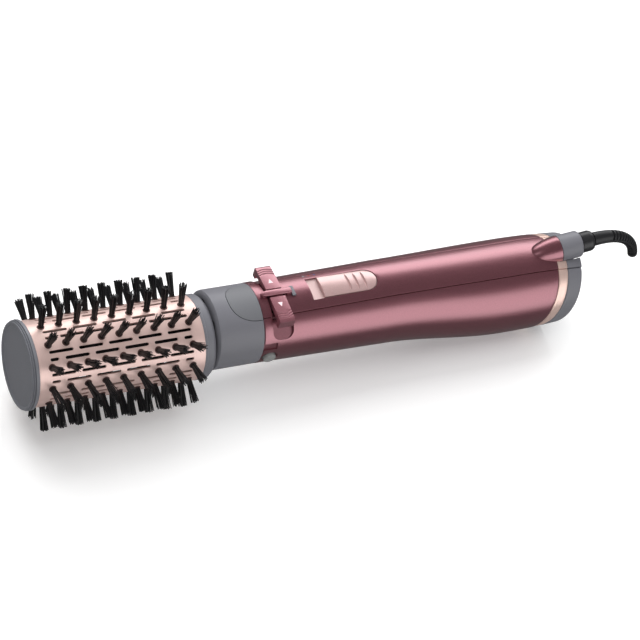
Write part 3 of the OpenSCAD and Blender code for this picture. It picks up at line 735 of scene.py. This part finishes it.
def shell(x1, lean1, x2, lean2, inset, upper, stations, around):
    """A length of the handle's skin; each end leans by an angle in degrees."""
    half = SEAM_HALF - 0.15 if upper else SEAM_HALF + 0.15
    points, faces = [], []
    ring = around + 1
    for i in range(stations + 1):
        t = i / stations
        base = x1 + (x2 - x1) * t
        lean = (1 - t) * math.tan(math.radians(lean1)) + t * math.tan(math.radians(lean2))
        for depth in (inset, inset + WALL):
            seam = math.asin(half / (grip_radius(base) - depth))
            for k in range(ring):
                if upper:
                    a = -seam + 2 * seam * k / around
                else:
                    a = seam + (2 * math.pi - 2 * seam) * k / around
                x = base - grip_radius(base) * (1 - math.cos(a)) * lean
                r = grip_radius(x) - depth
                points.append((x, -r * math.sin(a), grip_axis(x) + r * math.cos(a)))
    for i in range(stations):
        o = i * 2 * ring
        p = o + 2 * ring
        for k in range(around):
            faces.append((o + k, o + k + 1, p + k + 1, p + k))
            faces.append((o + ring + k, p + ring + k, p + ring + k + 1, o + ring + k + 1))
        faces.append((o, p, p + ring, o + ring))
        e = around
        faces.append((o + e, o + ring + e, p + ring + e, p + e))
    last = stations * 2 * ring
    for k in range(around):
        faces.append((k, k + ring, k + ring + 1, k + 1))
        faces.append((last + k, last + k + 1, last + ring + k + 1, last + ring + k))
    return mesh_of(points, faces)


def scoop_cutter(side):
    """A flat-floored finger scoop with a rounded lower end."""
    outline = []
    half, corner = 5.5, 4.2
    for k in range(13):
        a = math.pi + math.pi * k / 12
        middle = (half - corner) * (1 if k > 6 else -1)
        outline.append((middle + corner * math.cos(a), corner + corner * math.sin(a)))
    outline += [(half, 14), (-half, 14)]
    tool = prism(outline, 0, 12)
    end = math.radians(68)
    place = Matrix.Translation((GRIP_X + 9.9, -GRIP_R * math.sin(end), NECK_Z + GRIP_R * math.cos(end)))
    tool.transform(place @ Matrix.Rotation(math.radians(44), 4, "X"))
    if side < 0:
        tool.transform(Matrix.Scale(-1, 4, (0, 1, 0)))
        tool.flip_normals()
    return tool


def well_cutter():
    """Space of the rocker's well."""
    return box(ROCKER_X - 0.7, ROCKER_X + ROCKER_W + 0.7, -18.9, 18.9, 19.95, 40)


def window_outline():
    """Outline of the slider's window: square in front, round behind."""
    half = KNOB_W / 2 + WINDOW_GAP
    rear = KNOB_X + KNOB_LEN + WINDOW_GAP - half
    arc = [
        (rear + half * math.cos(a), half * math.sin(a))
        for a in (-math.pi / 2 + math.pi * k / 32 for k in range(33))
    ]
    return [(WINDOW_X, half), (WINDOW_X, -half)] + arc


def button_bore(radius, low, high):
    """A round hole on the line of the release button."""
    tool = lathe([(0, low), (radius, low), (radius, high), (0, high)], 48, closed=False)
    tool.transform(rolled(BUTTON_ANGLE, NECK_Z) @ Matrix.Translation((BUTTON_X, 0, 0)))
    return tool


def screw_bore(x):
    """A countersunk hole under the grip."""
    tool = lathe([(0, -1), (2.75, -1), (2.75, 1.1), (1.35, 1.1), (1.35, 5), (0, 5)], 32, closed=False)
    tool.transform(Matrix.Translation((x, 0, grip_axis(x) - grip_radius(x))))
    return tool


def make_main_shell():
    """The lower shell of the grip with its wells, bores and scoops."""
    blank = shell(GRIP_X, 0, BAND_X - 0.15, REAR_LEAN, 0, False, 72, 84)
    channel = box(GRIP_X - 1, GRIP_X + 7.2, -1.9, 1.9, GRIP_R - 0.7, GRIP_R + 2)
    channel.transform(rolled(77, NECK_Z))
    tools = [
        well_cutter(), scoop_cutter(1), scoop_cutter(-1), button_bore(3.65, 14, 26),
        button_bore(4.3, GRIP_R - 0.45, 26), screw_bore(GRIP_X + 20), screw_bore(236.4), channel,
    ]
    mesh = eased_edges(cut(eased_edges(blank, 0.5, 50, 3), tools), 0.2, 50)
    piece("main_shell_skin", mesh, "handle", plum, ("main_shell",))


def make_top_shell():
    """The long upper lid with the slider's window."""
    blank = shell(GRIP_X, 0, BAND_X - 0.15, REAR_LEAN, 0, True, 72, 28)
    collar = lathe([(0, -0.1), (EXIT_R + 0.15, -0.1), (EXIT_R + 0.15, 60), (0, 60)], 64, closed=False)
    collar.transform(EXIT_FRAME)
    tools = [well_cutter(), prism(window_outline(), 14, 34), collar]
    mesh = eased_edges(cut(blank, tools), 0.26)
    piece("top_shell_skin", mesh, "handle", plum, ("top_shell",))


def make_fairing():
    """Smooth nose that runs from the top shell up to the cord collar."""
    nose = 17.0
    profile = [(0, -nose)] + [
        (EXIT_R * math.sin(a), -nose * math.cos(a))
        for a in (math.pi / 2 * k / 28 for k in range(1, 28))
    ]
    profile += [(EXIT_R, -0.5), (EXIT_R - 0.15, -0.15), (0, -0.12)]
    mesh = lathe(profile, 96, closed=False)
    mesh.transform(EXIT_FRAME)
    middle = EXIT_X - nose / 2
    core = lathe(
        [(0, EXIT_X - nose - 5), (grip_radius(middle) - 0.9, EXIT_X - nose - 5),
         (grip_radius(middle) - 0.9, EXIT_X + 5), (0, EXIT_X + 5)], 160, closed=False,
    )
    mesh = cut(mesh, [laid_along_x(core, grip_axis(middle))])
    piece("exit_fairing_skin", mesh, "handle", plum, ("exit_fairing",), 50)


def make_rear():
    """The trim band and rear cover, each in a lower and an upper part."""
    lid = lathe([(0, -2), (EXIT_R + 0.15, -2), (EXIT_R + 0.15, 60), (0, 60)], 64, closed=False)
    lid.transform(EXIT_FRAME)
    for upper, label in ((False, ""), (True, "_top")):
        around = 20 if upper else 84
        band = shell(BAND_X, REAR_LEAN, COVER_X - 0.1, REAR_LEAN, 0.15, upper, 4, around)
        cover = shell(COVER_X, REAR_LEAN, TAIL_X, REAR_LEAN, 0.0, upper, 5, around)
        if upper:
            band, cover = cut(band, [lid.copy()]), cut(cover, [lid.copy()])
        piece(
            "band" + label, eased_edges(band, 0.3), "handle", band_gold,
            ("trim_band" + label,),
        )
        piece(
            "cover" + label, eased_edges(cover, 0.8, 35, 3), "handle", body_grey,
            ("rear_cover" + label,),
        )


def make_well_shade_sheets():
    """Black sheets that paint the shade inside the rocker's well (painted shade), set just inside the
    shells' cut edges.
    """
    front, rear = ROCKER_X - 0.69, ROCKER_X + ROCKER_W + 0.69
    walls = []
    for x, step in ((front, 0.12), (rear, -0.12)):
        r_top = grip_radius(x) - 0.35
        outline = [(-r_top * math.sin(a), NECK_Z + r_top * math.cos(a)) for a in
                   (math.radians(-34 + 68 * k / 24) for k in range(25))]
        low = 19.95
        outline = [(y, z) for y, z in outline if z > low]
        outline = [(outline[0][0], low)] + outline + [(outline[-1][0], low)]
        wall = prism(outline, min(x, x + step), max(x, x + step))
        wall.transform(ACROSS)
        walls.append(wall)
    # painted shade: black sheets stand where the well holds only shade, not a black part of the brush
    piece("rocker_well_painted_shade", joined(walls), "handle", shadow_black)


make_main_shell()
make_top_shell()
make_well_shade_sheets()
make_fairing()
make_rear()

# ---------------------------------------------------------------------------
# Controls
# ---------------------------------------------------------------------------


def make_rocker():
    """Two sprung pads on one bar that tips about a pin along the handle."""
    crown = 180.0
    top = []
    for k in range(41):
        y = -ROCKER_HALF + 2 * ROCKER_HALF * k / 40
        drop = 0.5 * max(0, (abs(y) - ROCKER_HALF + 1.2) / 1.2) ** 2
        top.append((y, ROCKER_TOP - crown + math.sqrt(crown**2 - y**2) - drop))
    lip, low, under = ROCKER_HALF - 2.9, ROCKER_TOP - 6.2, ROCKER_TOP - 3.4
    outline = top + [
        (ROCKER_HALF - 0.4, low), (lip, low), (lip, under),
        (-lip, under), (-lip, low), (0.4 - ROCKER_HALF, low),
    ]
    bar = prism(outline, ROCKER_X, ROCKER_X + ROCKER_W)
    bar.transform(ACROSS)
    tools = [box(ROCKER_X - 1, ROCKER_X + ROCKER_W + 1, -2.6, 2.6, ROCKER_TOP - 1.2, 40)]
    middle = ROCKER_X + ROCKER_W / 2
    for side in (-1, 1):
        for k in range(3):
            reach = ROCKER_HALF - 2.2 - 1.35 * k
            path, radius = [], 7.5
            for s in range(13):
                a = math.radians(-38 + 76 * s / 12)
                y = side * (reach - radius * (1 - math.cos(a)))
                z = ROCKER_TOP - crown + math.sqrt(crown**2 - y**2) + 0.1
                path.append((middle + radius * math.sin(a), y, z))
            tools.append(groove(path, 0.4))
    mesh = eased_edges(cut(bar, [tools[0]]), 0.4, 35, 3)
    mesh = cut(mesh, tools[1:])
    rear = ROCKER_X + ROCKER_W
    hub = lathe([(0.88, ROCKER_X), (1.5, ROCKER_X), (1.5, rear), (0.88, rear)], 32)
    web = box(ROCKER_X + 0.2, rear - 0.2, -0.9, 0.9, PIN_Z + 1.2, ROCKER_TOP - 2.6)
    piece(
        "rocker_pads", joined([mesh, laid_along_x(hub, PIN_Z), web]), "rocker", plum_pad,
        ("rotation_rocker",),
    )
    arrows = []
    for side in (-1, 1):
        y = side * 7.2
        z = ROCKER_TOP - crown + math.sqrt(crown**2 - y**2)
        tip = side * 1.5
        arrows.append(
            prism([(middle - 1.5, y - tip), (middle + 1.5, y - tip), (middle, y + tip)], z - 0.2, z + 0.04)
        )
    piece("rocker_arrows", joined(arrows), "rocker", arrow_light)


def groove(path, radius):
    """A thin round cutter along any points on top of the brush."""
    sides = 10
    points, faces = [], []
    for i, here in enumerate(path):
        before, after = path[max(i - 1, 0)], path[min(i + 1, len(path) - 1)]
        run = (Vector(after) - Vector(before)).normalized()
        side = run.cross(Vector((0, 0, 1))).normalized()
        out = side.cross(run)
        for k in range(sides):
            a = 2 * math.pi * k / sides
            points.append(Vector(here) + radius * (math.cos(a) * out + math.sin(a) * side))
    for i in range(len(path) - 1):
        for k in range(sides):
            j = (k + 1) % sides
            faces.append((i * sides + k, i * sides + j, (i + 1) * sides + j, (i + 1) * sides + k))
    last = (len(path) - 1) * sides
    faces += [tuple(range(sides))[::-1], tuple(range(last, last + sides))]
    return mesh_of(points, faces)


def make_bridge():
    """The bar over the rocker and the foot that it ends in."""
    front, rear = GRIP_X + 0.9, GRIP_X + 17.9
    outline = [(front, 0), (front + 1.2, 0.8), (front + 2.4, 1.3), (front + 4, BRIDGE_HALF)]
    outline += [(rear, BRIDGE_HALF), (rear, -BRIDGE_HALF)]
    outline += [(front + 4, -BRIDGE_HALF), (front + 2.4, -1.3), (front + 1.2, -0.8)]
    bar = prism(outline, ROCKER_TOP - 0.5, ROCKER_TOP + 0.8)
    legs = [
        box(front + 1.4, front + 3.6, -1.3, 1.3, NECK_Z + GRIP_R + 0.1, ROCKER_TOP),
        box(rear - 2.4, rear, -BRIDGE_HALF, BRIDGE_HALF, NECK_Z + GRIP_R + 0.25, ROCKER_TOP),
    ]
    mesh = joined([eased_edges(bar, 0.45, 30, 3), *legs])
    piece("bridge_bar", mesh, "handle", plum_pad, ("rocker_bridge",))
    foot = box(rear, rear + 2, -2.9, 2.9, NECK_Z + GRIP_R + 0.2, NECK_Z + GRIP_R + 1.15)
    foot = eased_edges(foot, 0.25)
    piece("bridge_foot_block", foot, "handle", body_grey, ("bridge_foot",))


def make_slider():
    """Round-ended switch cap with three finger grooves."""
    half = KNOB_W / 2
    rear = KNOB_X + KNOB_LEN - half
    arc = [
        (rear + half * math.cos(a), half * math.sin(a))
        for a in (-math.pi / 2 + math.pi * k / 40 for k in range(41))
    ]
    blank = prism([(KNOB_X, half), (KNOB_X, -half)] + arc, 22.4, 34)
    crown = lathe(
        [(0, KNOB_X - 2), (GRIP_R + 0.75, KNOB_X - 2), (GRIP_R + 0.75, KNOB_X + KNOB_LEN + 2),
         (0, KNOB_X + KNOB_LEN + 2)], 256, closed=False,
    )
    mesh = cut(blank, [laid_along_x(crown, NECK_Z)], "INTERSECT")
    mesh = eased_edges(mesh, 0.3, 40, 3)
    tools = []
    for k in range(3):
        x = KNOB_X + 14.2 + 4.3 * k
        rim = [(0, x), (59.4, x), (60, x + 0.65), (59.4, x + 1.3), (0, x + 1.3)]
        wheel = lathe(rim, 512, closed=False)
        tools.append(laid_along_x(wheel, NECK_Z + GRIP_R - 0.2 + 60))
    mesh = cut(mesh, tools)
    piece("slider_cap", mesh, "switch", knob_rose, ("switch_knob",))


def make_marks():
    """Three small dots beside the slider."""
    for k, finish in enumerate((mark_grey, mark_red, mark_blue)):
        x = KNOB_X - 5.6 + 3 * k
        r = grip_radius(x)
        dot = lathe(rounded([(0, -0.4), (0.5, -0.4), (0.5, 0.05), (0, 0.05)], 0.05, 2), 24, closed=False)
        dot.transform(
            rolled(-math.degrees(math.asin(9.2 / r)), grip_axis(x)) @ Matrix.Translation((x, 0, r))
        )
        piece(
            f"position_mark_{k + 1}", dot, "handle", finish,
            ("position_marks",) if k == 0 else (),
        )


def make_button():
    """Release button at the front of the grip."""
    profile = rounded(
        [
            (0, 16.6), (0.9, 16.6), (0.9, 17.6), (3.3, 17.6),
            (3.3, 20.8), (2.9, 21.35), (1.6, 21.4), (0, 21.25),
        ],
        0.35, 4,
    )
    mesh = lathe(profile, 64, closed=False)
    mesh.transform(rolled(BUTTON_ANGLE, NECK_Z) @ Matrix.Translation((BUTTON_X, 0, 0)))
    piece("release_button_cap", mesh, "button", button_grey, ("release_button",), 45)


make_rocker()
make_bridge()
make_slider()
make_marks()
make_button()

# ---------------------------------------------------------------------------
# Cord exit
# ---------------------------------------------------------------------------


def make_collar():
    """Grey collar that the swivel turns in."""
    profile = [
        (4.8, 0), (EXIT_R, 0), (EXIT_R - 0.25, EXIT_LEN - 1.0), (EXIT_R - 1.0, EXIT_LEN),
        (4.8, EXIT_LEN), (4.8, EXIT_LEN - 3), (4.8, 0),
    ]
    mesh = lathe(rounded(profile, 0.35, 3), 96, closed=False)
    mesh.transform(EXIT_FRAME)
    piece("collar_ring", mesh, "handle", body_grey, ("cord_collar",), 40)


def make_swivel():
    profile = [
        (0, 2), (4.5, 2), (4.5, EXIT_LEN + 0.3), (5.4, EXIT_LEN + 0.35), (5.4, EXIT_LEN + 5.6),
        (4.7, EXIT_LEN + 7.1), (3.9, EXIT_LEN + 7.5), (0, EXIT_LEN + 7.5),
    ]
    mesh = lathe(rounded(profile, 0.4, 4), 64, closed=False)
    mesh.transform(EXIT_FRAME)
    piece("swivel_block", mesh, "cord", gloss_black, ("swivel_body",), 40)


def boot_line(t):
    d = EXIT_LEN + 7.5
    tilt = math.radians(EXIT_TILT)
    p0 = Vector((EXIT_X + d * math.cos(tilt), 0, EXIT_Z + d * math.sin(tilt)))
    p1 = p0 + Vector((31 * 0.45, 0, 31 * 0.45 * math.tan(tilt)))
    p2 = p0 + Vector((31 * 0.85, 0, -18 * 0.15))
    p3 = p0 + Vector((31, 0, -18))
    s = 1 - t
    return s**3 * p0 + 3 * s * s * t * p1 + 3 * s * t * t * p2 + t**3 * p3


def make_boot():
    """Strain relief: a smooth root, then open ribs over a thinner core."""
    ribs = 13
    path, radii = [], []
    steps = 300
    for i in range(steps + 1):
        t = i / steps
        outer = 3.6 - 1.0 * t
        if 0.24 < t < 0.96:
            phase = (t - 0.24) / 0.72 * ribs % 1.0
            wave = min(1.0, max(0.0, (abs(phase - 0.5) - 0.16) / 0.1))
            outer -= 0.85 * (1 - wave)
        path.append(boot_line(0.012 + 0.98 * t))
        radii.append(outer)
    tube = swept(path, radii, 40)
    spine_path = [boot_line(0.05 + 0.87 * k / 40) for k in range(41)]
    spines = []
    for side in (-1, 1):
        points = []
        for k, here in enumerate(spine_path):
            points.append(Vector(here) + Vector((0, side * (3.3 - 0.95 * k / 40), 0)))
        spines.append(swept([tuple(p) for p in points], [0.55] * 41, 8))
    end = boot_line(1.0)
    run = (boot_line(1.0) - boot_line(0.97)).normalized()
    bore = lathe([(0, -5), (1.8, -5), (1.8, 3), (0, 3)], 36, closed=False)
    bore.transform(Matrix.Translation(end) @ run.to_track_quat("Z", "Y").to_matrix().to_4x4())
    mesh = joined([cut(tube, [bore]), *spines])
    piece("cord_boot_moulding", mesh, "cord", boot_black, ("cord_boot",), 40)


make_collar()
make_swivel()
make_boot()

# ---------------------------------------------------------------------------
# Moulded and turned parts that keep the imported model's own mesh
# ---------------------------------------------------------------------------

KEPT = {
    "barrel": barrel_rose,
    "rear_collar": body_grey,
    "brush_hub": inner_grey,
    "brush_shaft": steel,
    "core_tube": shadow_black,
    "neck": body_grey,
    # painted shade: the core tube is black so that the barrel's slots read as dark shadow
    "thumb_pad": pad_grey,
    "neck_spigot": inner_grey,
    "neck_bush": bronze,
    "socket_ring": inner_grey,
    "rocker_pin": steel,
    "rocker_tray": shadow_black,
    "knob_carrier": gloss_black,
    "switch_track": track_rose,
    "slide_switch": gloss_black,
    "button_spring": steel,
    "inlet_grille": cap_grey,
    "filter_mesh": steel,
    "drive_spindle": steel,
    "gear_motor": steel,
    "motor_bracket": inner_grey,
    "heater_frame": mica,
    "heater_coil": steel,
    "thermostat": steel,
    "fan_rotor": gloss_black,
    "fan_motor": steel,
    "motor_cradle": inner_grey,
    "control_board": board_green,
    "shell_screws": steel,
}


def smoothing():
    """Rounds the look of turned faces and keeps edges over 32 degrees crisp."""
    tree = bpy.data.node_groups.new("smooth_turned_faces", "GeometryNodeTree")
    tree.interface.new_socket("Geometry", in_out="INPUT", socket_type="NodeSocketGeometry")
    tree.interface.new_socket("Geometry", in_out="OUTPUT", socket_type="NodeSocketGeometry")
    start, end = tree.nodes.new("NodeGroupInput"), tree.nodes.new("NodeGroupOutput")
    weld = tree.nodes.new("GeometryNodeMergeByDistance")
    weld.inputs["Distance"].default_value = 1e-6
    faces = tree.nodes.new("GeometryNodeSetShadeSmooth")
    faces.domain = "FACE"
    edges = tree.nodes.new("GeometryNodeSetShadeSmooth")
    edges.domain = "EDGE"
    angle = tree.nodes.new("GeometryNodeInputMeshEdgeAngle")
    limit = tree.nodes.new("FunctionNodeCompare")
    limit.operation = "LESS_THAN"
    limit.inputs[1].default_value = math.radians(32)
    tree.links.new(start.outputs[0], weld.inputs["Geometry"])
    tree.links.new(weld.outputs[0], faces.inputs["Geometry"])
    tree.links.new(faces.outputs[0], edges.inputs["Geometry"])
    tree.links.new(angle.outputs["Unsigned Angle"], limit.inputs[0])
    tree.links.new(limit.outputs[0], edges.inputs["Shade Smooth"])
    tree.links.new(edges.outputs[0], end.inputs[0])
    return tree


SMOOTH = smoothing()
for node, finish in KEPT.items():
    part = frame["nodes"][node]
    part.data.materials.clear()
    part.data.materials.append(finish.material)
    part.modifiers.new("smooth", "NODES").node_group = SMOOTH
